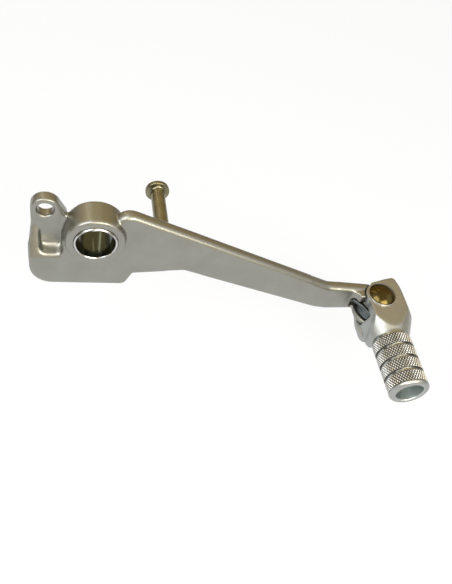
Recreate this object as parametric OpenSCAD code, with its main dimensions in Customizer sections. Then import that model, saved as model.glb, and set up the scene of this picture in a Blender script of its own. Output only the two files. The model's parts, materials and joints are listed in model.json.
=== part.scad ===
// Rear brake pedal with a folding toe peg. Millimetres.
// Origin: centre of the pivot bore. +X runs forward to the toe, +Y inboard, +Z up.

/* [Pivot] */
// Bore of the pressed-in bush
bush_bore_d = 19.5; // [17:0.1:20.5]
// Outside diameter of the bush
bush_od = 22; // [21.5:0.1:25]
// Length of the bush
bush_len = 19.6; // [17:0.2:24]
// How far the bush stands out of the boss on the outboard side
bush_out = 0.7; // [0.4:0.1:1.5]
// Outside diameter of the pivot boss
boss_od = 30.5; // [28:0.5:36]
// Length of the pivot boss
boss_len = 15.6; // [12:0.2:20]
// Chamfer at the bush and boss mouths
mouth_chamfer = 0.6; // [0.3:0.1:1]

/* [Arm] */
// Thickness of the arm and the rear body
arm_t = 7.6; // [6:0.2:10]
// Radius of the arm's rounded edges
edge_r = 2.8; // [0.8:0.1:3.2]
// Forward distance from the pivot to the toe hinge pin
reach = 175; // [150:1:200]
// Drop from the pivot to the middle of the toe end
drop = 52; // [35:1:65]
// Half height of the arm at its root
root_r = 12.6; // [11:0.2:14]
// Half height of the arm where it meets the toe end
tip_r = 10; // [8:0.2:10.6]
// Height of the level toe end
end_h = 18.5; // [17:0.5:22]

/* [Rear body] */
// Distance of the rear edge behind the pivot
rear_x = 33.6; // [33:0.2:38]
// Depth of the bottom edge below the pivot
floor_z = 36.5; // [33:0.5:42]
// Radius of the lower rear corner
rear_corner_r = 12; // [8:0.5:14]
// Radius of the lower front corner
front_corner_r = 4; // [2.5:0.5:6]

/* [Rear eye] */
// Diameter of the eye's hole
eye_hole_d = 8.4; // [6:0.1:9]
// Outside radius of the eye
eye_r = 7.4; // [7:0.1:9]
// Distance of the eye behind the pivot
eye_x = 24.4; // [24:0.2:26]
// Height of the eye above the pivot
eye_z = 10.5; // [8:0.5:14]
// Thickness of the eye
eye_t = 6.2; // [4:0.2:7.6]
// Depth of the eye's outboard face below the arm's outboard face
eye_setback = 8.2; // [7:0.1:9]
// Width of the ramped rib behind the pocket
rib_w = 6; // [4.6:0.2:7]
// Depth of the pocket's floor below the pivot
pocket_z = 13.4; // [11:0.2:15]
// Depth of the ramp's lower edge below the pivot
ramp_z = 16.4; // [15.2:0.2:19]
// Rounding between the pocket's floor and its back
pocket_r = 3.6; // [2:0.2:5]

/* [Spring post] */
// Distance of the post ahead of the pivot
post_x = 36; // [30:0.5:44]
// Height of the post, below the pivot
post_z = -7.5; // [-10:0.5:-5]
// Diameter of the post's shank
post_d = 8; // [6:0.2:10]
// Length of the post beyond the arm, head included
post_len = 39; // [20:1:50]
// Diameter of the post's head
post_head_d = 13.6; // [11.5:0.2:16]
// Thickness of the post's head
post_head_t = 2.6; // [1.5:0.1:4]

/* [Toe hinge] */
// How far the hinge pin sits outboard of the arm's middle
hinge_out = 7; // [6:0.5:9]
// Radius of the lever's round hinge lug
lug_r = 13.6; // [13.2:0.1:14.2]
// Fillet between the arm's outboard face and the lug
lug_fillet = 5; // [3:0.2:6]
// Thickness of the lug's lower plate
lug_t = 3.6; // [3:0.1:5]
// Diameter of the hinge pin's shank
pin_d = 8; // [6:0.2:10]
// Running clearance of the pin in the lug, on the radius
pin_clear = 0.05; // [0.03:0.01:0.09]
// Clearance between the ears and the lug
side_clear = 0.3; // [0.2:0.05:0.6]
// Diameter of the pin's domed head
pin_head_d = 17; // [14:0.2:18]
// Height of the pin's domed head
pin_head_h = 3.6; // [2:0.1:5]
// Diameter of the washer under the head
washer_d = 17.8; // [15:0.2:19]
// Thickness of the washer
washer_t = 0.8; // [0.5:0.1:1.2]

/* [Toe peg] */
// Radius of the ears' round back
ear_r = 10; // [9.8:0.1:10.6]
// Thickness of the upper ear
upper_ear_t = 6.4; // [5:0.1:7]
// Thickness of the lower ear
lower_ear_t = 4.4; // [3.5:0.1:6]
// Distance from the pin to the knuckle's flat rear side
knuckle_side = 9.1; // [8.4:0.1:9.4]
// Distance from the pin to the knuckle's front side
knuckle_front = 19; // [17:0.2:19]
// Radius of the knuckle's round sides
knuckle_r = 17.6; // [17:0.2:18.6]
// Diameter of the knurled barrel
barrel_d = 24; // [21.2:0.2:26]
// Distance from the hinge pin to the barrel's open end
peg_len = 63; // [56:0.5:76]
// Distance from the hinge pin to the first groove
neck_len = 26.5; // [24:0.5:29]
// Width of the knuckle where the barrel starts
neck_w = 25.4; // [24:0.2:27]
// Number of knurled bands
bands = 4; // [2:1:6]
// Width of the grooves between the bands
groove_w = 1.6; // [1:0.1:2.4]
// Depth of the grooves
groove_depth = 1.2; // [0.5:0.1:1.6]
// Length of the plain rounded end
rim_len = 2.2; // [2.2:0.2:6]
// Diameter of the hollow in the barrel's end
hollow_d = 16.4; // [12:0.2:18]
// Depth of the hollow
hollow_depth = 22; // [8:1:24]

/* [Spring] */
// Wire diameter of the peg's torsion spring
wire_d = 1.8; // [1.2:0.1:1.8]
// Mean radius of the spring's turns
coil_r = 11.2; // [11:0.1:11.6]
// Number of the spring's turns
turns = 3.25; // [2.25:1:3.25]

/* [Hidden] */
$fn = 64;
eps = 0.01;
hull_fn = 32;
rim_steps = 5;
least_flat = 0.2;
cut = 60;

// Arm and toe end
half_t = arm_t / 2;
boss_r = boss_od / 2;
root_top = boss_r - 0.5;
root_top_x = 17;
root_top_r = 8;
root = [42, -9.4];
belly = [50, -18];
belly_r = 8;
end_top = -drop + end_h / 2;
end_bottom = -drop - end_h / 2;
arm_step = 0.8;
tip_x = reach - 37;
tip_z = -drop + 2;
end_corner_r = 3;
end_inset = 6;

// Rear body
eye_front = -half_t + eye_setback;
eye_back = eye_front + eye_t;
front_x = 14.3;
front_drop = 1;
throat = [17, -22.8];
throat_r = 6;
shoulder_z = -9;
shoulder_r = 6;
core_r = 12;
block_inset = 0.1;
block_z = [-14, -20, -28];
block_x = [-26, -10];
boss_side = -8;
web = [-boss_r + 2.4, 4.3];
flank_a = 28;
cut_step = -3;
cut_flank = [-boss_r + 0.4, 2.5];
cut_depth = 5;
cut_right = -16.4;
cut_corner_r = 5.5;
pocket_left = -rear_x + rib_w;
pocket_corner_r = 3;
ramp_top = 1.5;
back_clear = 1;

// Toe hinge, seen from above about the pin
hinge_y = -hinge_out;
face_y = hinge_out - half_t;
back_y = hinge_out + half_t;
lug_top = end_bottom + lug_t;
fillet_y = face_y - lug_fillet;
fillet_x = -sqrt(pow(lug_r + lug_fillet, 2) - pow(fillet_y, 2));
seat_r = ear_r + 0.4;
seat_tip = -0.8;
seat_end = -4.4;
seat_overlap = 2;
upper_ear_bottom = end_top - upper_ear_t;
room_top = upper_ear_bottom - side_clear;
room_r = lug_r + 3.2;
room_back = 6.8;
hub_r = coil_r - wire_d / 2 - 0.6;
coil_room_r = coil_r + wire_d / 2 + 0.5;

// Toe peg
lower_ear_top = end_bottom - side_clear;
knuckle_bottom = lower_ear_top - lower_ear_t;
knuckle_mid = (end_top + knuckle_bottom) / 2;
knuckle_x = 1.2;
flank = -11.2;
ear_edge = -sqrt(pow(ear_r, 2) - pow(knuckle_side, 2));
ear_front = -13;
ear_tip = [11, 11.6];
ear_tip_r = 2.6;
ear_back = [[6.4, 13.3], [1, 11.7]];
shoulder = seat_end + side_clear;
shoulder_y = 10.2;
lower_ear_r = ear_r + 1;
heel = [-8.6, -16];
heel_r = 4;
heel_top = -7;
chin = [-3.4, -24.2];
round_start = 20;
round_end = -9;
barrel_x = 1.5;
rounds = [[1.9, -12.7, 19], [1.6, -21.1, 14.6], [barrel_x, -neck_len, neck_w / 2]];
round_drop = 0.2;
round_t = 0.2;
flare_y = -14;
slot_r = lug_r + 0.6;
barrel_r = barrel_d / 2;
rim_r = 2.2;
core_in = 0.6;
pitch_len = (peg_len - neck_len - rim_len) / bands;

// Hinge pin
pin_end = knuckle_bottom - 1.2;
pin_chamfer = 0.5;
washer_top = end_top + washer_t;
washer_clear = 0.4;
head_rim = 0.5;
dome_steps = 8;

// Spring
coil_gap = 0.3;
coil_low = lug_top + coil_gap + wire_d / 2;
coil_high = room_top - coil_gap - wire_d / 2;
coil_end = 196;
leg_sweep = 24;
low_leg_r = slot_r - coil_gap - wire_d / 2;
high_leg_r = room_r - coil_gap - wire_d / 2;

// Spring post
post_shoulder = 1.2;
post_edge = 0.4;

// A disc with rounded rims, lying in the arm's plane
module pad(r, t, rim) {
    profile = concat(
        [[0, -t / 2]],
        [for (i = [0:rim_steps]) let (a = 90 * i / rim_steps) [r - rim + rim * sin(a), -t / 2 + rim - rim * cos(a)]],
        [for (i = [0:rim_steps]) let (a = 90 * i / rim_steps) [r - rim + rim * cos(a), t / 2 - rim + rim * sin(a)]],
        [[0, t / 2]]
    );
    rotate([90, 0, 0]) rotate_extrude($fn = hull_fn) polygon(profile);
}

module pad_at(at, r) {
    translate([at[0], 0, at[1]]) pad(r, arm_t, min(edge_r, arm_t / 2 - least_flat, r - least_flat));
}

// A cylinder along Y, from y0 to y1
module rod_y(x, z, r, y0, y1) {
    translate([x, y1, z]) rotate([90, 0, 0]) cylinder(r = r, h = y1 - y0);
}

// A plate in the XZ plane, from y0 to y1
module plate_y(y0, y1) {
    translate([0, y1, 0]) rotate([90, 0, 0]) linear_extrude(y1 - y0) children();
}

module arm_body() {
    // Rear body, from the rear corner to the front corner
    hull() {
        pad_at([-rear_x + rear_corner_r, -floor_z + rear_corner_r], rear_corner_r);
        pad_at([front_x, -floor_z - front_drop + front_corner_r], front_corner_r);
        pad_at(throat, throat_r);
        pad_at([-rear_x + shoulder_r, shoulder_z], shoulder_r);
        pad_at([0, 0], core_r);
    }
    // Root, from the boss to the start of the blade
    hull() {
        pad_at([root_top_x, root_top - root_top_r], root_top_r);
        pad_at(root, root_r);
        pad_at(belly, belly_r);
        pad_at(throat, throat_r);
    }
    // Blade
    hull() {
        pad_at(root, root_r);
        pad_at(belly, belly_r);
        pad_at([tip_x, tip_z], tip_r);
    }
    // Level toe end
    hull() {
        pad_at([tip_x, tip_z], tip_r);
        for (x = [tip_x + end_inset, reach - end_inset], z = [end_top - arm_step - end_corner_r, end_bottom + end_corner_r])
            pad_at([x, z], end_corner_r);
    }
}

// The thicker rear block that carries the eye
module eye_block() {
    plate_y(-half_t, eye_back) {
        translate([-eye_x, eye_z]) circle(r = eye_r);
        polygon([
            [-eye_x - eye_r, eye_z], [-eye_x - eye_r, 0],
            [-rear_x + block_inset, block_z[0]], [-rear_x + block_inset, block_z[1]],
            [block_x[0], block_z[2]], [block_x[1], block_z[2]], [boss_side, 0], web,
            [-eye_x + eye_r * cos(flank_a), eye_z + eye_r * sin(flank_a)]
        ]);
    }
}

// Outline of the opening cut in the outboard face, up to the boss
module opening_outline() {
    corner_x = cut_right - cut_corner_r;
    corner_z = -ramp_z + cut_corner_r;
    translate([corner_x, corner_z]) circle(r = cut_corner_r);
    polygon([
        [-cut, -ramp_z], [corner_x, -ramp_z], [cut_right, corner_z], [cut_right, cut_step],
        cut_flank, [boss_side, cut_flank[1]], [boss_side, cut], [-cut, cut]
    ]);
}

// Outline of the deeper pocket beside the rib
module pocket_outline() {
    left = pocket_left + pocket_corner_r;
    right = cut_right - pocket_corner_r;
    low = -pocket_z + pocket_corner_r;
    for (x = [left, right])
        translate([x, low]) circle(r = pocket_corner_r);
    polygon([
        [left, -pocket_z], [right, -pocket_z], [cut_right, low], [cut_right, cut_step],
        cut_flank, [boss_side, cut_flank[1]], [boss_side, cut], [pocket_left, cut], [pocket_left, low]
    ]);
}

// A long prism along X, drawn with depth from the outboard side to the right and height up
module prism_x() {
    rotate([90, 0, -90]) linear_extrude(2 * cut, center = true) mirror([1, 0]) children();
}

// The space in front of the eye: a ramp over the rib, and the pocket with a round back edge
module eye_opening() {
    far = -half_t - cut_depth;
    intersection() {
        plate_y(far, eye_front) opening_outline();
        prism_x() polygon([[far, -ramp_z], [-half_t, -ramp_z], [eye_front, ramp_top], [eye_front, cut], [far, cut]]);
    }
    intersection() {
        plate_y(far, eye_front) pocket_outline();
        prism_x() difference() {
            polygon([[far, -pocket_z], [eye_front, -pocket_z], [eye_front, cut], [far, cut]]);
            difference() {
                translate([eye_front - pocket_r, -pocket_z]) square(pocket_r);
                translate([eye_front - pocket_r, -pocket_z + pocket_r]) circle(r = pocket_r);
            }
        }
    }
}

module boss() {
    h = boss_len / 2;
    c = mouth_chamfer;
    rotate([90, 0, 0]) rotate_extrude()
        polygon([[0, -h], [boss_r - c, -h], [boss_r, -h + c], [boss_r, h - c], [boss_r - c, h], [0, h]]);
}

// Round lug at the toe end, with a fillet to the arm's outboard face
module hinge_lug() {
    translate([reach, hinge_y, 0]) {
        difference() {
            translate([0, 0, end_bottom]) cylinder(r = lug_r, h = end_top - arm_step - end_bottom);
            translate([-cut / 2, back_y - edge_r, lug_top]) cube(cut);
        }
        translate([0, 0, lug_top]) linear_extrude(end_top - arm_step - lug_top) difference() {
            translate([fillet_x, seat_tip]) square([-fillet_x - ear_r, face_y - seat_tip]);
            translate([fillet_x, fillet_y]) circle(r = lug_fillet);
        }
    }
}

module hinge_cuts() {
    translate([reach, hinge_y, 0]) {
        // Round seat of the peg's upper ear, its open front and its open end
        translate([0, 0, room_top]) cylinder(r = seat_r, h = cut);
        translate([fillet_x + seat_overlap, seat_tip - cut, lug_top]) cube(cut);
        translate([seat_end, -cut / 2, lug_top]) cube(cut);
        // Room for the spring, with a wall left behind it
        translate([0, 0, lug_top]) linear_extrude(room_top - lug_top + eps) {
            circle(r = coil_room_r);
            intersection() {
                circle(r = room_r);
                translate([-cut, room_back - cut]) square([2 * cut, cut]);
            }
        }
    }
}

module lever() {
    color([0.62, 0.62, 0.6]) difference() {
        union() {
            difference() {
                union() {
                    arm_body();
                    eye_block();
                    hinge_lug();
                }
                eye_opening();
                hinge_cuts();
            }
            boss();
            // Hub that the spring is wound on
            translate([reach, hinge_y, lug_top - eps]) cylinder(r = hub_r, h = room_top - lug_top + eps);
        }
        rod_y(0, 0, bush_od / 2, -boss_len, boss_len);
        // Flat face behind the boss
        rod_y(0, 0, boss_r, boss_len / 2, eye_back + back_clear);
        rod_y(-eye_x, eye_z, eye_hole_d / 2, -half_t, eye_back + back_clear);
        rod_y(post_x, post_z, post_d / 2, 0, half_t + back_clear);
        translate([reach, hinge_y, end_bottom - eps]) cylinder(d = pin_d + 2 * pin_clear, h = end_h);
    }
}

module pivot_bush() {
    r = bush_od / 2;
    b = bush_bore_d / 2;
    front = boss_len / 2 + bush_out;
    back = front - bush_len;
    c = min(mouth_chamfer, (r - b) * 0.4);
    color([0.75, 0.76, 0.76]) rotate([90, 0, 0]) rotate_extrude() polygon([
        [b, back + c], [b + c, back], [r - c, back], [r, back + c],
        [r, front - c], [r - c, front], [b + c, front], [b, front - c]
    ]);
}

module spring_post() {
    r = post_d / 2;
    hr = post_head_d / 2;
    top = half_t + post_len;
    neck = top - post_head_t;
    color([0.55, 0.52, 0.42]) translate([post_x, 0, post_z]) rotate([-90, 0, 0]) rotate_extrude()
        polygon([
            [0, 0], [r, 0], [r, neck - post_shoulder], [r + post_edge, neck - post_edge], [r + post_shoulder, neck],
            [hr - post_edge, neck], [hr, neck + post_edge], [hr, top - post_edge], [hr - post_edge, top], [0, top]
        ]);
}

// Outline of the ear and knuckle from above, about the hinge pin
module knuckle_outline() {
    circle(r = ear_r);
    translate(ear_tip) circle(r = ear_tip_r);
    polygon(concat(
        [[-knuckle_side, 0], [-knuckle_side, flare_y], [-neck_w / 2, -neck_len]],
        [[knuckle_front, -neck_len], [knuckle_front, ear_front]],
        [ear_tip + [ear_tip_r, 0], ear_tip, ear_tip + [0, ear_tip_r]],
        ear_back,
        [[shoulder, shoulder_y], [shoulder, 0]]
    ));
}

// The lower ear is fuller behind the pin
module lower_ear_outline() {
    circle(r = lower_ear_r);
    translate(heel) circle(r = heel_r);
    polygon(concat(
        [[-lower_ear_r, 0], [heel[0] - heel_r, heel_top], heel - [heel_r, 0], heel - [0, heel_r]],
        [chin, [knuckle_front, chin[1]], [knuckle_front, ear_front], ear_tip + [ear_tip_r, 0]],
        ear_back,
        [[shoulder, shoulder_y]]
    ));
}

// Round sides of the knuckle, drawn in to the barrel
module knuckle_round() {
    hull() {
        rod_y(knuckle_x, knuckle_mid, knuckle_r, round_end, round_start);
        for (at = rounds)
            rod_y(at[0], knuckle_mid - round_drop * at[2], at[2], at[1], at[1] + round_t);
    }
}

module knuckle() {
    intersection() {
        union() {
            translate([0, 0, lower_ear_top]) linear_extrude(end_top - lower_ear_top) knuckle_outline();
            // Rear side, which leans out below the upper ear
            plate_y(-neck_len, ear_edge) polygon([
                [0, upper_ear_bottom], [-knuckle_side, upper_ear_bottom], [flank, lower_ear_top], [0, lower_ear_top]
            ]);
            translate([0, 0, knuckle_bottom]) linear_extrude(lower_ear_t + eps) lower_ear_outline();
        }
        knuckle_round();
    }
}

// Barrel about its axis: a core as deep as the grooves, the bands, then the rounded end
module barrel() {
    translate([barrel_x, 0, knuckle_mid]) rotate([90, 0, 0]) {
        translate([0, 0, neck_len - core_in])
            cylinder(r = barrel_r - groove_depth, h = peg_len - rim_len - neck_len + core_in - eps);
        for (i = [0:bands - 1]) translate([0, 0, neck_len + i * pitch_len + groove_w])
            cylinder(r = barrel_r, h = pitch_len - groove_w + (i == bands - 1 ? eps : 0));
        rotate_extrude() polygon(concat(
            [[0, peg_len - rim_len], [barrel_r, peg_len - rim_len]],
            [for (a = [0:15:90]) [barrel_r - rim_r + rim_r * cos(a), peg_len - rim_r + rim_r * sin(a)]],
            [[0, peg_len]]
        ));
    }
}

module toe_peg() {
    color([0.66, 0.66, 0.63]) translate([reach, hinge_y, 0]) difference() {
        union() {
            knuckle();
            barrel();
        }
        // Hollow of the barrel
        rod_y(barrel_x, knuckle_mid, hollow_d / 2, -cut - neck_len, -peg_len + hollow_depth);
        // Fork gap for the lug and the spring
        translate([0, 0, lower_ear_top]) {
            cylinder(r = slot_r, h = upper_ear_bottom - lower_ear_top);
            translate([-cut, 0, 0]) cube([2 * cut, cut, upper_ear_bottom - lower_ear_top]);
        }
        // Pin hole
        translate([0, 0, knuckle_bottom - eps]) cylinder(d = pin_d, h = cut);
    }
}

module peg_pin() {
    r = pin_d / 2;
    hr = pin_head_d / 2;
    dome_r = (hr * hr + pin_head_h * pin_head_h) / (2 * pin_head_h);
    dome_a = asin(hr / dome_r);
    color([0.5, 0.42, 0.14]) translate([reach, hinge_y, 0]) rotate_extrude() polygon(concat(
        [[0, pin_end], [r - pin_chamfer, pin_end], [r, pin_end + pin_chamfer], [r, washer_top], [hr, washer_top]],
        [for (i = [0:dome_steps]) let (a = dome_a * (1 - i / dome_steps))
            [dome_r * sin(a), washer_top + head_rim + pin_head_h - dome_r * (1 - cos(a))]]
    ));
}

module pin_washer() {
    color([0.72, 0.7, 0.62]) translate([reach, hinge_y, end_top]) difference() {
        cylinder(d = washer_d, h = washer_t);
        translate([0, 0, -eps]) cylinder(d = pin_d + washer_clear, h = washer_t + 2 * eps);
    }
}

// A tube of round section swept along a list of points
function unit(v) = v / norm(v);
function ring(path, i, r, sides) =
    let (
        a = path[max(i - 1, 0)],
        b = path[min(i + 1, len(path) - 1)],
        t = unit(b - a),
        u = unit(cross(t, abs(t[2]) > 0.9 ? [1, 0, 0] : [0, 0, 1])),
        w = cross(t, u)
    )
    [for (k = [0:sides - 1]) path[i] + r * (cos(360 * k / sides) * u + sin(360 * k / sides) * w)];

module swept_tube(path, r, sides) {
    rings = len(path);
    points = [for (i = [0:rings - 1]) each ring(path, i, r, sides)];
    sides_faces = [for (i = [0:rings - 2], k = [0:sides - 1])
        let (n = (k + 1) % sides)
        [i * sides + k, i * sides + n, (i + 1) * sides + n, (i + 1) * sides + k]];
    caps = [[for (k = [sides - 1:-1:0]) k], [for (k = [0:sides - 1]) (rings - 1) * sides + k]];
    polyhedron(points, concat(sides_faces, caps), convexity = 10);
}

// Turns about the hub, with one leg out to the arm and one out to the knuckle
module peg_spring() {
    steps = round(turns * 24);
    coil_start = coil_end + 360 * turns;
    coil = [for (i = [0:steps]) let (a = coil_start - 360 * turns * i / steps)
        [coil_r * cos(a), coil_r * sin(a), coil_low + (coil_high - coil_low) * i / steps]];
    low_a = coil_start + leg_sweep;
    high_a = coil_end - leg_sweep;
    low_leg = [low_leg_r * cos(low_a), low_leg_r * sin(low_a), coil_low];
    high_leg = [high_leg_r * cos(high_a), high_leg_r * sin(high_a), coil_high];
    color([0.25, 0.28, 0.31]) translate([reach, hinge_y, 0])
        swept_tube(concat([low_leg], coil, [high_leg]), wire_d / 2, 8);
}

lever();
pivot_bush();
spring_post();
toe_peg();
peg_pin();
pin_washer();
peg_spring();
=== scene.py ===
import json
import math

import bmesh
import bpy
from mathutils import Matrix, Vector


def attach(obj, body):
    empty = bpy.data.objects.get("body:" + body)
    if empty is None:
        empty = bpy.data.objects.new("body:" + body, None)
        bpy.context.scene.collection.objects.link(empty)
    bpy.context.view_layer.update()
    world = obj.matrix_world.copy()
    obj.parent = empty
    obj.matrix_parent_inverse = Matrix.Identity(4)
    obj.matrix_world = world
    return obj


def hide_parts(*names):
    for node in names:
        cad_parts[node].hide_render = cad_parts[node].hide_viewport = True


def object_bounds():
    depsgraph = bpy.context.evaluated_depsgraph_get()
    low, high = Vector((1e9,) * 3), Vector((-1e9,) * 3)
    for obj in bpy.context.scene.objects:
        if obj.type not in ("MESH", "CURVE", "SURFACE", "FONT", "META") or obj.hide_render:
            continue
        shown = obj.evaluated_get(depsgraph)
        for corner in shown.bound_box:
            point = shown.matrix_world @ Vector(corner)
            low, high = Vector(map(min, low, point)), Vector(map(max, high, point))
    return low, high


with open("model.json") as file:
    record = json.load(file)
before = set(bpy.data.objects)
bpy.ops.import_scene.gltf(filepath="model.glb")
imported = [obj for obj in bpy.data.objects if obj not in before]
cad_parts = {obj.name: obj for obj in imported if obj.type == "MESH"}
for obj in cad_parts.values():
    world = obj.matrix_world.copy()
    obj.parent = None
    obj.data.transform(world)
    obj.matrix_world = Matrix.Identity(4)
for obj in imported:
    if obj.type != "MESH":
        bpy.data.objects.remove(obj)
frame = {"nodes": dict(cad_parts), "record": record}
cadLow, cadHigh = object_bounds()
nodes = frame["nodes"]
mm = 0.001

hinge = next(joint for joint in frame["record"]["behaviour"]["joints"] if joint["name"] == "peg_fold")
pinX, pinY = hinge["pos_m"][0], hinge["pos_m"][1]
barrelX, barrelZ = pinX + 1.5 * mm, -54.35 * mm  # the barrel's axis runs through the knuckle's middle
print("frame loaded with", len(nodes), "nodes")


# Selecting and shaping

def deselect():
    if bpy.context.object and bpy.context.object.mode != "OBJECT":
        bpy.ops.object.mode_set(mode="OBJECT")
    bpy.ops.object.select_all(action="DESELECT")


def work(piece, mode="OBJECT"):
    deselect()
    piece.select_set(True)
    bpy.context.view_layer.objects.active = piece
    bpy.ops.object.mode_set(mode=mode)


def pick(piece, kind, test):
    # Selects the vertices, edges or faces that pass the test, in edit mode
    bpy.ops.mesh.select_mode(type=kind)
    bpy.ops.mesh.select_all(action="DESELECT")
    mesh = bmesh.from_edit_mesh(piece.data)
    for element in {"VERT": mesh.verts, "EDGE": mesh.edges, "FACE": mesh.faces}[kind]:
        if test(element):
            element.select_set(True)
    mesh.select_flush_mode()
    bmesh.update_edit_mesh(piece.data)


def applyModifier(piece, kind, **settings):
    work(piece)
    bpy.ops.object.modifier_add(type=kind)
    modifier = piece.modifiers[-1]
    for name, value in settings.items():
        setattr(modifier, name, value)
    bpy.ops.object.modifier_apply(modifier=modifier.name)


def bevelled(piece, width):
    applyModifier(piece, "BEVEL", width=width * mm, segments=3, limit_method="ANGLE",
                  angle_limit=math.radians(28))


def settle(piece, angle=32):
    # Puts the place into the mesh and smooths the shading up to that angle
    work(piece)
    bpy.ops.object.transform_apply(location=True, rotation=True, scale=True)
    bpy.ops.object.shade_smooth_by_angle(angle=math.radians(angle))


def hand(piece, finish, node, body):
    piece.data.materials.append(finish.material)
    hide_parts(node)
    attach(piece, body)
    print("made", piece.name, len(piece.data.polygons), "faces")


def around(angle, radius):
    return Vector((math.cos(angle), math.sin(angle), 0)) * radius * mm


def arc(centre, radius, start, end, steps):
    # Profile points along an arc, with angles in degrees from the radius axis
    turn = [math.radians(start + (end - start) * i / steps) for i in range(steps + 1)]
    return [(centre[0] + radius * math.cos(a), centre[1] + radius * math.sin(a)) for a in turn]


def turned(name, place, lean, profile, steps):
    # A profile of (radius, height) points in millimetres, extruded point by point and spun about its axis
    deselect()
    bpy.ops.mesh.primitive_plane_add(size=mm)
    piece = bpy.context.object
    piece.name = name
    work(piece, "EDIT")
    bpy.ops.mesh.select_mode(type="VERT")
    bpy.ops.mesh.select_all(action="SELECT")
    bpy.ops.mesh.merge(type="CENTER")
    points = [Vector((radius * mm, 0, height * mm)) for radius, height in profile]
    bpy.ops.transform.translate(value=points[0])
    for last, point in zip(points, points[1:]):
        bpy.ops.mesh.extrude_vertices_move(TRANSFORM_OT_translate={"value": point - last})
    bpy.ops.mesh.select_all(action="SELECT")
    bpy.ops.mesh.spin(steps=steps, angle=2 * math.pi, center=(0, 0, 0), axis=(0, 0, 1))
    bpy.ops.mesh.select_all(action="SELECT")
    bpy.ops.mesh.remove_doubles(threshold=0.01 * mm)
    bpy.ops.mesh.normals_make_consistent(inside=False)
    bpy.ops.object.mode_set(mode="OBJECT")
    piece.location = place
    piece.rotation_euler = lean
    work(piece)
    bpy.ops.object.transform_apply(location=True, rotation=True, scale=True)
    return piece


def remeshed(name, node, voxel):
    # A merged copy of a node's mesh, remeshed into even faces
    deselect()
    piece = nodes[node].copy()
    piece.data = nodes[node].data.copy()
    piece.name = name
    piece.parent = None
    piece.matrix_world = Matrix.Identity(4)
    for collection in nodes[node].users_collection:
        collection.objects.link(piece)
    piece.hide_render = False
    piece.data.materials.clear()
    work(piece, "EDIT")
    bpy.ops.mesh.select_all(action="SELECT")
    bpy.ops.mesh.remove_doubles(threshold=0.002 * mm)
    bpy.ops.object.mode_set(mode="OBJECT")
    applyModifier(piece, "REMESH", mode="VOXEL", voxel_size=voxel * mm, adaptivity=0)
    return piece


def everywhere(x, y, z):
    return True


def relax(piece, rounds, test=everywhere, sideways=True):
    # Smooths the vertices whose place in millimetres passes the test, in all directions or in height alone
    work(piece, "EDIT")
    pick(piece, "VERT", lambda vertex: test(*(vertex.co / mm)))
    bpy.ops.mesh.vertices_smooth(factor=0.5, repeat=rounds, xaxis=sideways, yaxis=sideways)
    bpy.ops.object.mode_set(mode="OBJECT")


# Shader maths

class Signal:
    # A socket's output; sums on it add Math nodes
    def __init__(self, wiring, socket):
        self.wiring = wiring
        self.socket = socket

    def maths(self, operation, first, second):
        return self.wiring.node("Math", {"operation": operation}, {0: first, 1: second})

    def __add__(self, other):
        return self.maths("ADD", self, other)

    def __radd__(self, other):
        return self.maths("ADD", other, self)

    def __rsub__(self, other):
        return self.maths("SUBTRACT", other, self)

    def __mul__(self, other):
        return self.maths("MULTIPLY", self, other)

    def __rmul__(self, other):
        return self.maths("MULTIPLY", other, self)

    def __pow__(self, other):
        return self.maths("POWER", self, other)


class Wiring:
    # A node tree of a material or of the world
    def __init__(self, tree):
        self.tree = tree

    def plug(self, socket, value):
        if isinstance(value, Signal):
            self.tree.links.new(value.socket, socket)
        else:
            socket.default_value = value

    def node(self, kind, settings=None, inputs=None, output=0):
        made = self.tree.nodes.new("ShaderNode" + kind)
        for name, value in (settings or {}).items():
            setattr(made, name, value)
        for name, value in (inputs or {}).items():
            self.plug(made.inputs[name], value)
        return Signal(self, made.outputs[output])

    def fade(self, value, low, high):
        # 0 at low and 1 at high, held at both ends
        return self.node("MapRange", None, {"Value": value, "From Min": low, "From Max": high})

    def seenDirect(self):
        # 1 for camera, glossy and transmission rays
        camera = self.node("LightPath", output="Is Camera Ray")
        glossy = self.node("LightPath", output="Is Glossy Ray")
        through = self.node("LightPath", output="Is Transmission Ray")
        return self.fade(camera + glossy + through, 0.0, 1.0)


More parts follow.
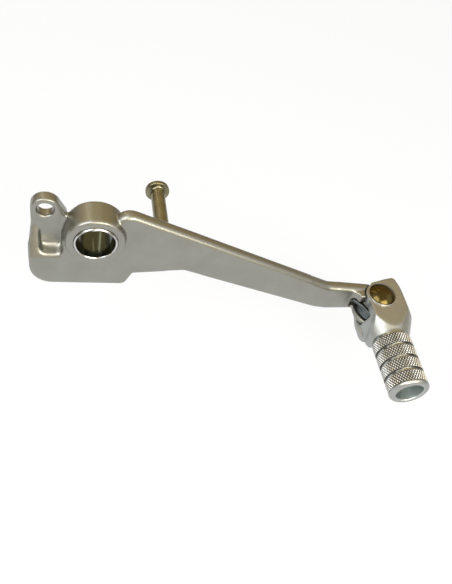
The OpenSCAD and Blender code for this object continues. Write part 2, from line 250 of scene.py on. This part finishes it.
class Finish(Wiring):
    # One material: its shader's constants, then what varies over the surface
    def __init__(self, name, **constants):
        self.material = bpy.data.materials.new(name)
        self.material.use_nodes = True
        super().__init__(self.material.node_tree)
        self.shader = self.tree.nodes["Principled BSDF"]
        for socket, value in constants.items():
            self.set(socket.replace("_", " "), value)

    def set(self, socket, value):
        self.plug(self.shader.inputs[socket], value)

    def wired(self, socket):
        return Signal(self, self.shader.inputs[socket].links[0].from_socket)

    def surface(self, value):
        self.plug(self.tree.nodes["Material Output"].inputs["Surface"], value)

    def glow(self, colour):
        return self.node("Emission", None, {"Color": colour, "Strength": 1.0})

    def place(self):
        return self.node("TexCoord", output="Object")

    def mapped(self, **inputs):
        return self.node("Mapping", None, {"Vector": self.place(), **inputs})

    def part(self, vector, axis):
        return self.node("SeparateXYZ", None, {"Vector": vector}, output=axis)

    def axisRadius(self, x=0.0, z=0.0):
        # Distance from an axis that runs along Y
        centred = self.mapped(Location=(-x, 0, -z))
        across, up = self.part(centred, "X"), self.part(centred, "Z")
        return (across * across + up * up) ** 0.5

    def noise(self, scale, detail, rough=0.55):
        return self.node("TexNoise", None, {
            "Vector": self.place(), "Scale": scale, "Detail": detail, "Roughness": rough})

    def turningMarks(self, across, along):
        # Noise drawn out into fine rings about the Y axis
        stretched = self.mapped(Scale=(across, along, across))
        return self.node("TexNoise", None, {"Vector": stretched, "Scale": 1.0, "Detail": 2.0})

    def blend(self, mask, first, second):
        return self.node("Mix", {"data_type": "RGBA"}, {0: mask, 6: first, 7: second}, output=2)

    def bump(self, height, strength, distance):
        return self.node("Bump", None, {"Height": height, "Strength": strength, "Distance": distance * mm})


def grey(level, warmth=0.0):
    return (level * (1 + warmth), level, level * (1 - warmth), 1)


# The casting alloy of the lever and the peg
alloy = {"clouds": 70, "grain": 1700, "specks": 595, "rough": 0.35, "cloudRough": 0.06, "speckRough": 0.08}


def castAlloy(name, light, dark):
    # Bead-blasted alloy: soft clouds of tone, a fine grain and a few dull specks
    finish = Finish(name, Metallic=1.0)
    cloud = finish.fade(finish.noise(alloy["clouds"], 4), 0.35, 0.7)
    grain = finish.noise(alloy["grain"], 2, 0.6)
    speck = finish.fade(finish.noise(alloy["specks"], 2), 0.62, 0.72)
    finish.set("Base Color", finish.blend(cloud, light, dark))
    finish.set("Roughness", alloy["rough"] + alloy["cloudRough"] * cloud + alloy["speckRough"] * speck)
    finish.set("Normal", finish.bump(grain, 0.35, 0.06))
    return finish


# The lever: the forging's own solid, remeshed so that its edges and hollows run into each other softly
lever = {
    "voxel": 0.55, "soft": 4,
    "pocket": {"rounds": 12, "front": -9, "bottom": -22, "back": 9.6, "boss": 14.6},
    "rim": {"rounds": 14, "outboard": -6, "front": 17, "boss": 13},
    "arch": {"rounds": 40, "rear": 38, "front": 60, "top": -20},
    "bend": {"rounds": 40, "rear": 128, "front": 148, "bottom": -48},
    "light": (0.325, 0.33, 0.3, 1), "dark": (0.3, 0.3, 0.27, 1),
}


def inPocket(x, y, z):
    pocket = lever["pocket"]
    behind = x < pocket["front"] and z > pocket["bottom"]
    return behind and y < pocket["back"] and math.hypot(x, z) > pocket["boss"]


def atRim(x, y, z):
    rim = lever["rim"]
    return y < rim["outboard"] and x < rim["front"] and math.hypot(x, z) > rim["boss"]


def inArch(x, y, z):
    return lever["arch"]["rear"] < x < lever["arch"]["front"] and z < lever["arch"]["top"]


def inBend(x, y, z):
    return lever["bend"]["rear"] < x < lever["bend"]["front"] and z > lever["bend"]["bottom"]


def makeLever():
    piece = remeshed("lever_forging", "lever", lever["voxel"])
    relax(piece, lever["soft"])
    relax(piece, lever["pocket"]["rounds"], inPocket)
    relax(piece, lever["rim"]["rounds"], atRim)
    relax(piece, lever["arch"]["rounds"], inArch, sideways=False)
    relax(piece, lever["bend"]["rounds"], inBend, sideways=False)
    settle(piece, 60)
    hand(piece, castAlloy("satin_alloy", lever["light"], lever["dark"]), "lever", "lever")


# The toe peg: a cast knuckle with a turned, grooved and knurled barrel
# Lengths run out from the pin; in the tones, a mask fades from 0 at a pair's first number to 1 at its second
peg = {
    "voxel": 0.5, "soft": 5, "knuckleEnd": 26.4,
    "columns": 44, "rows": 3, "toothInset": 0.42, "toothHeight": 0.5,
    "radius": 12.0, "valley": 11.45, "groove": 10.8, "grooveWidth": 1.6, "grooveWall": 0.12,
    "start": 25.4, "startChamfer": 0.6, "firstGroove": 26.5, "bands": 4,
    "end": 63.0, "rim": 2.2, "rimStep": (0.1, 0.15), "rimStart": 12,
    "hollow": 8.2, "hollowDepth": 22.0, "mouthRound": 0.8, "floorRound": 1.0,
}
pegTones = {
    "light": (0.42, 0.435, 0.425, 1), "dark": (0.36, 0.375, 0.36, 1), "tooth": (0.8, 0.81, 0.79, 1),
    # The knurl's dark valley colour on the next line is painted shade
    "paintedValleyShade": (0.05, 0.043, 0.035, 1), "inside": (0.65, 0.71, 0.71, 1),
    "toothRadius": (11.1, 11.3), "paintedValleyShadeRadius": (11.8, 11.62), "insideRadius": (8.8, 8.1),
    "insideOut": (38, 42), "barrelOut": (26.5, 26.8), "knurlOut": (61, 60.7),
    "groovePolish": 0.6, "knuckleRough": 0.06,
}


def pegAlloy():
    # The casting alloy, bright on the teeth, with painted shade between them, and inside the barrel's hollow a
    # lighter bluish tone that is partly the as-cast surface and partly painted reflection
    finish = castAlloy("peg_alloy", pegTones["light"], pegTones["dark"])
    radius = finish.axisRadius(barrelX, barrelZ)
    out = pinY - finish.part(finish.place(), "Y")

    def mask(value, pair):
        low, high = pegTones[pair]
        return finish.fade(value, low * mm, high * mm)
    # Partly painted reflection: the hollow's lighter bluish colour stands in for what its inside reflects, over
    # the as-cast surface
    inside = mask(radius, "insideRadius") * mask(out, "insideOut")
    onBarrel = mask(out, "barrelOut")
    banded = onBarrel * mask(out, "knurlOut")
    teeth = mask(radius, "toothRadius")
    # Painted shade: darkens the knurl's valleys between the teeth
    paintedValleyShade = mask(radius, "paintedValleyShadeRadius") * teeth * banded
    toothed = finish.blend(banded * teeth, finish.wired("Base Color"), pegTones["tooth"])
    cut = finish.blend(paintedValleyShade, toothed, pegTones["paintedValleyShade"])
    finish.set("Base Color", finish.blend(inside, cut, pegTones["inside"]))
    grooved = banded * (1 - teeth) * (1 - inside)
    rough = finish.wired("Roughness") * (1 - pegTones["groovePolish"] * grooved)
    finish.set("Roughness", rough + pegTones["knuckleRough"] * (1 - onBarrel))
    return finish


def barrelProfile():
    groove, valley, hollow = peg["groove"], peg["valley"], peg["hollow"]
    rim = peg["end"] - peg["rim"]
    floor = peg["end"] - peg["hollowDepth"]
    pitch = (rim - peg["firstGroove"]) / peg["bands"]
    chamfer, wall, mouth, corner = peg["startChamfer"], peg["grooveWall"], peg["mouthRound"], peg["floorRound"]
    points = [(0, peg["start"]), (groove - chamfer, peg["start"]), (groove, peg["start"] + chamfer)]
    for band in range(peg["bands"]):
        low = peg["firstGroove"] + band * pitch + peg["grooveWidth"]
        high = peg["firstGroove"] + (band + 1) * pitch
        points.append((groove, low - wall))
        points += [(valley, low + (high - low) * i / peg["rows"]) for i in range(peg["rows"] + 1)]
        if band < peg["bands"] - 1:
            points.append((groove, high + wall))
    points.append((peg["radius"] - peg["rimStep"][0], rim + peg["rimStep"][1]))
    points += arc((peg["radius"] - peg["rim"], rim), peg["rim"], peg["rimStart"], 90, 8)
    points += arc((hollow + mouth, peg["end"] - mouth), mouth, 90, 180, 5)
    points += arc((hollow - corner, floor + corner), corner, 0, -90, 4)
    points.append((0, floor))
    return points


def onBand(face):
    # The barrel's faces that lie at the knurl's valley radius and look straight outward
    centre = face.calc_center_median()
    outward = Vector((centre.x - barrelX, 0, centre.z - barrelZ))
    radius = outward.length / mm
    return peg["groove"] + 0.3 < radius < peg["valley"] + 0.02 and face.normal.dot(outward.normalized()) > 0.99


def knurl(piece):
    # Every cell is poked, its own edges dissolved, and the diamonds left raised one by one
    work(piece, "EDIT")
    pick(piece, "FACE", onBand)
    bpy.ops.mesh.mark_seam(clear=False)
    bpy.ops.mesh.poke()
    pick(piece, "EDGE", lambda edge: edge.seam and all(onBand(face) for face in edge.link_faces))
    bpy.ops.mesh.dissolve_edges(use_verts=False)
    pick(piece, "FACE", onBand)
    bpy.ops.mesh.inset(use_individual=True, thickness=peg["toothInset"] * mm, depth=peg["toothHeight"] * mm)
    bpy.ops.mesh.select_all(action="SELECT")
    bpy.ops.mesh.mark_seam(clear=True)
    bpy.ops.object.mode_set(mode="OBJECT")


def makePeg():
    knuckle = remeshed("peg_casting", "toe_peg", peg["voxel"])
    work(knuckle, "EDIT")
    bpy.ops.mesh.select_all(action="SELECT")
    cut = pinY - peg["knuckleEnd"] * mm
    bpy.ops.mesh.bisect(plane_co=(0, cut, 0), plane_no=(0, 1, 0), use_fill=True, clear_inner=True)
    bpy.ops.object.mode_set(mode="OBJECT")
    relax(knuckle, peg["soft"])
    settle(knuckle, 60)
    place = (barrelX, pinY, barrelZ)
    barrel = turned("peg_barrel", place, (math.pi / 2, 0, 0), barrelProfile(), peg["columns"])
    knurl(barrel)
    settle(barrel, 24)
    work(knuckle)
    barrel.select_set(True)
    bpy.ops.object.join()
    hand(knuckle, pegAlloy(), "toe_peg", "peg")


# The bush in the boss
bush = {
    "bore": 9.75, "outer": 11.0, "front": 8.5, "back": -11.1, "chamfer": 0.5, "edge": 0.12,
    # The bore's dark greenish colour on the next line is painted shade and dark reflection
    "rim": grey(0.62, 0.01), "marked": grey(0.5), "paintedBoreShade": (0.095, 0.108, 0.09, 1), "paintedBoreShadeRadius": (9.95, 9.8),
}


def bushSteel():
    # Bright rim, and a bore painted dark and greenish: painted shade and dark reflection inside the bore
    finish = Finish("polished_bush", Metallic=1.0)
    marks = finish.turningMarks(60, 1400)
    outer, inner = bush["paintedBoreShadeRadius"]
    # Painted shade: this mask darkens the bore to stand for the shade and dark reflection inside it
    bore = finish.fade(finish.axisRadius(), outer * mm, inner * mm)
    rim = finish.blend(marks, bush["rim"], bush["marked"])
    finish.set("Base Color", finish.blend(bore, rim, bush["paintedBoreShade"]))
    finish.set("Roughness", 0.12 + 0.1 * marks)
    finish.set("Normal", finish.bump(marks, 0.15, 0.03))
    return finish


def makeBush():
    bore, outer, front, back = bush["bore"], bush["outer"], bush["front"], bush["back"]
    step = bush["chamfer"]
    profile = [(bore, back + step), (bore + step, back), (outer - step, back), (outer, back + step)]
    profile += [(outer, front - step), (outer - step, front), (bore + step, front), (bore, front - step)]
    piece = turned("pivot_bush_turned", (0, 0, 0), (math.pi / 2, 0, 0), profile + profile[:1], 96)
    bevelled(piece, bush["edge"])
    settle(piece)
    hand(piece, bushSteel(), "pivot_bush", "lever")


# The post that stands inboard from the arm
post = {
    "x": 36, "z": -7.5, "radius": 4, "length": 42.8, "head": 6.8, "headThick": 2.6,
    "neckRound": 1.2, "edge": 0.45,
    "light": (0.27, 0.25, 0.17, 1), "dark": (0.2, 0.18, 0.11, 1),
}


def postSteel():
    # Turned and plated steel: fine rings along its length
    finish = Finish("turned_post", Metallic=1.0)
    marks = finish.turningMarks(40, 2600)
    cloud = finish.fade(finish.noise(220, 3), 0.35, 0.7)
    finish.set("Base Color", finish.blend(cloud, post["light"], post["dark"]))
    finish.set("Roughness", 0.24 + 0.16 * marks)
    finish.set("Normal", finish.bump(marks, 0.25, 0.04))
    return finish


def makePost():
    radius, top, head, curve = post["radius"], post["length"], post["head"], post["neckRound"]
    neck = top - post["headThick"]
    profile = [(0, 0), (radius, 0), (radius, neck - curve)]
    profile += arc((radius + curve, neck - curve), curve, 180, 90, 6)
    profile += [(head, neck), (head, top), (0, top)]
    piece = turned("spring_post_turned", (post["x"] * mm, 0, post["z"] * mm), (-math.pi / 2, 0, 0), profile, 64)
    bevelled(piece, post["edge"])
    settle(piece)
    hand(piece, postSteel(), "spring_post", "lever")


# The domed hinge pin
pin = {
    "radius": 4, "low": -67.15, "washerTop": -41.95, "head": 8.5, "dome": 3.6, "rim": 0.5, "edge": 0.35,
    "light": (0.125, 0.094, 0.028, 1), "dark": (0.05, 0.038, 0.016, 1),
}


def goldZinc():
    finish = Finish("gold_zinc", Metallic=1.0)
    cloud = finish.fade(finish.noise(260, 4), 0.3, 0.75)
    finish.set("Base Color", finish.blend(cloud, pin["light"], pin["dark"]))
    finish.set("Roughness", 0.15 + 0.1 * cloud)
    finish.set("Normal", finish.bump(finish.noise(2400, 2), 0.12, 0.03))
    return finish


def makePin():
    radius, seat, head, rise = pin["radius"], pin["washerTop"], pin["head"], pin["dome"]
    dome = (head * head + rise * rise) / (2 * rise)
    sweep = math.degrees(math.asin(head / dome))
    brow = seat + pin["rim"]
    profile = [(0, pin["low"]), (radius, pin["low"]), (radius, seat), (head, seat), (head, brow)]
    profile += arc((0, brow + rise - dome), dome, 90 - sweep, 90, 12)[1:]
    piece = turned("peg_pin_domed", (pinX, pinY, 0), (0, 0, 0), profile, 64)
    bevelled(piece, pin["edge"])
    settle(piece)
    hand(piece, goldZinc(), "peg_pin", "peg")


# The washer under the pin's head
washer = {
    "low": -42.75, "thick": 0.8, "outer": 8.9, "inner": 4.2, "edge": 0.2,
    "light": grey(0.66, 0.02), "dark": grey(0.5, 0.05),
}


def washerZinc():
    finish = Finish("washer_zinc", Metallic=1.0)
    cloud = finish.fade(finish.noise(400, 3), 0.35, 0.7)
    finish.set("Base Color", finish.blend(cloud, washer["light"], washer["dark"]))
    finish.set("Roughness", 0.22 + 0.14 * cloud)
    finish.set("Normal", finish.bump(finish.noise(2600, 2), 0.15, 0.03))
    return finish


def makeWasher():
    inner, outer, low = washer["inner"], washer["outer"], washer["low"]
    high = low + washer["thick"]
    profile = [(inner, low), (outer, low), (outer, high), (inner, high), (inner, low)]
    piece = turned("pin_washer_stamped", (pinX, pinY, 0), (0, 0, 0), profile, 64)
    bevelled(piece, washer["edge"])
    settle(piece)
    hand(piece, washerZinc(), "pin_washer", "peg")


# The torsion spring in the fork gap, with a leg at each end
spring = {
    "wire": 0.9, "coil": 11.2, "turns": 3.25, "end": 196, "sides": 14, "steps": 150, "grip": 1.2,
    "low": {"height": -56.45, "reach": 12.95, "sweep": 24},
    "high": {"height": -50.65, "reach": 15.6, "sweep": -24},
    "light": (0.07, 0.085, 0.09, 1), "dull": (0.13, 0.145, 0.145, 1),
}


def springSteel():
    finish = Finish("spring_wire", Metallic=0.9)
    cloud = finish.fade(finish.noise(500, 3), 0.35, 0.7)
    finish.set("Base Color", finish.blend(cloud, spring["light"], spring["dull"]))
    finish.set("Roughness", 0.3 + 0.2 * cloud)
    finish.set("Normal", finish.bump(finish.noise(3000, 2), 0.2, 0.03))
    return finish


def makeSpring():
    # A ring of wire, screwed up round the pin; its end faces are then drawn out as the legs
    low, high = spring["low"], spring["high"]
    last = math.radians(spring["end"])
    first = math.radians(spring["end"] + 360 * spring["turns"])
    deselect()
    bpy.ops.mesh.primitive_circle_add(vertices=spring["sides"], radius=spring["wire"] * mm, fill_type="NOTHING")
    piece = bpy.context.object
    piece.name = "peg_spring_wound"
    piece.rotation_euler = (math.pi / 2, 0, first)
    work(piece)
    bpy.ops.object.transform_apply(location=False, rotation=True, scale=False)
    work(piece, "EDIT")
    bpy.ops.mesh.select_all(action="SELECT")
    out = around(first, spring["coil"])
    bpy.ops.transform.translate(value=(out.x, out.y, low["height"] * mm))
    bpy.ops.object.mode_set(mode="OBJECT")
    applyModifier(piece, "SCREW", axis="Z", angle=math.radians(-360 * spring["turns"]), iterations=1,
                  screw_offset=(high["height"] - low["height"]) * mm,
                  steps=spring["steps"], render_steps=spring["steps"])
    work(piece, "EDIT")
    for leg, turn in ((low, first), (high, last)):
        here = around(turn, spring["coil"])
        there = around(turn + math.radians(leg["sweep"]), leg["reach"])
        near = here + Vector((0, 0, leg["height"] * mm))
        grip = spring["grip"] * mm
        pick(piece, "EDGE", lambda edge: edge.is_boundary and (edge.verts[0].co - near).length < grip)
        bpy.ops.mesh.extrude_region_move(TRANSFORM_OT_translate={"value": there - here})
        bpy.ops.mesh.edge_face_add()
    bpy.ops.mesh.select_all(action="SELECT")
    bpy.ops.mesh.normals_make_consistent(inside=False)
    bpy.ops.object.mode_set(mode="OBJECT")
    piece.location = (pinX, pinY, 0)
    settle(piece, 50)
    hand(piece, springSteel(), "peg_spring", "lever")


makeLever()
makePeg()
makeBush()
makePost()
makePin()
makeWasher()
makeSpring()


# The studio: a floor, cards that only the metal reflects, and lamps, each by its direction from the part
studio = {"floorZ": -0.11, "floorSize": 6.0, "floorGlow": 0.86, "floorPaper": grey(0.86), "worldDiffuse": 0.55}
cards = {
    "high_card": {"towards": (0.1, 0.75, 0.66), "far": 0.9, "size": (2.2, 1.05),
        "colour": (0.63, 0.47, 0.23, 1)},
    "roof_card": {"towards": (0.2, -0.05, 1.0), "far": 0.85, "size": (2.2, 0.75),
        "colour": (0.82, 0.66, 0.4, 1)},
    "back_card": {"towards": (0.15, 1.0, 0.0), "far": 0.9, "size": (2.2, 0.4),
        "colour": (0.1, 0.085, 0.05, 1)},
    "front_card": {"towards": (0.2, -1.0, 0.04), "far": 0.9, "size": (2.2, 0.55),
        "colour": (0.46, 0.33, 0.13, 1)},
    "left_card": {"towards": (-1.0, 0.1, 0.1), "far": 0.9, "size": (1.6, 0.6),
        "colour": (0.3, 0.26, 0.18, 1)},
    "right_card": {"towards": (1.0, 0.1, 0.1), "far": 0.9, "size": (1.6, 0.6),
        "colour": (0.4, 0.34, 0.24, 1)},
    "left_strip": {"towards": (-0.36, 0.61, 0.7), "far": 0.8, "size": (0.06, 0.5),
        "colour": (3.2, 2.9, 2.3, 1)},
    "near_strip": {"towards": (0.05, 0.61, 0.79), "far": 0.8, "size": (0.04, 0.25),
        "colour": (2.2, 2.0, 1.6, 1)},
}
lamps = {
    "edge_box": {"towards": (0.24, -0.73, 0.58), "far": 0.7, "size": (0.5, 0.4),
        "power": 5, "colour": (1, 0.92, 0.78)},
    "key_box": {"towards": (-0.7, -0.4, 0.9), "far": 1.0, "size": (0.7, 0.7),
        "power": 6, "colour": (1, 1, 1)},
}
middle = (cadLow + cadHigh) / 2


def facing(stand):
    # Where a card or a lamp stands, turned towards the part
    towards = Vector(stand["towards"]).normalized()
    return {"location": middle + towards * stand["far"], "rotation": towards.to_track_quat("Z", "Y").to_euler()}


def makeFloor():
    deselect()
    bpy.ops.mesh.primitive_plane_add(size=studio["floorSize"], location=(middle.x, middle.y, studio["floorZ"]))
    floor = bpy.context.object
    floor.name = "studio_floor"
    paper = Finish("floor_paper", Base_Color=studio["floorPaper"], Roughness=0.9)
    white = paper.seenDirect() * studio["floorGlow"]
    lit = Signal(paper, paper.shader.outputs[0])
    paper.surface(paper.node("MixShader", None, {0: white, 1: lit, 2: paper.glow((1, 1, 1, 1))}))
    floor.data.materials.append(paper.material)


def makeWorld():
    world = bpy.data.worlds.new("studio")
    bpy.context.scene.world = world
    world.use_nodes = True
    sky = Wiring(world.node_tree)
    background = sky.tree.nodes["Background"]
    sky.plug(background.inputs["Color"], (1, 1, 1, 1))
    dim = studio["worldDiffuse"]
    sky.plug(background.inputs["Strength"], dim + (1 - dim) * sky.seenDirect())


def makeCard(name, card):
    deselect()
    bpy.ops.mesh.primitive_plane_add(size=1, **facing(card))
    sheet = bpy.context.object
    sheet.name = name
    sheet.scale = (card["size"][0], card["size"][1], 1)
    paper = Finish(name + "_paper")
    paper.surface(paper.glow(card["colour"]))
    sheet.data.materials.append(paper.material)
    sheet.visible_camera = False
    sheet.visible_diffuse = False
    sheet.visible_shadow = False


def makeLamp(name, lamp):
    bpy.ops.object.light_add(type="AREA", **facing(lamp))
    box = bpy.context.object
    box.name = name
    box.data.shape = "RECTANGLE"
    box.data.size, box.data.size_y = lamp["size"]
    box.data.energy = lamp["power"]
    box.data.color = lamp["colour"]


# The camera, from the photograph's viewing angle
view = {
    "lens": 39.54, "place": (-13.267, -233.081, 240.534),
    "right": (0.97124, -0.15125, 0.18388), "up": (0.00215, 0.77784, 0.62846),
    "ahead": (0.23808, 0.60999, -0.75579),
}


def makeCamera():
    data = bpy.data.cameras.new("photo_view")
    camera = bpy.data.objects.new("photo_view", data)
    bpy.context.scene.collection.objects.link(camera)
    data.lens = view["lens"]
    data.sensor_width = 36
    data.clip_start = 0.01
    turn = Matrix((Vector(view["right"]), Vector(view["up"]), -Vector(view["ahead"]))).transposed()
    camera.matrix_world = Matrix.Translation(Vector(view["place"]) * mm) @ turn.to_4x4()
    bpy.context.scene.camera = camera


makeFloor()
makeWorld()
for name, card in cards.items():
    makeCard(name, card)
for name, lamp in lamps.items():
    makeLamp(name, lamp)
makeCamera()
bpy.context.scene.view_settings.view_transform = "Standard"
print("studio ready")
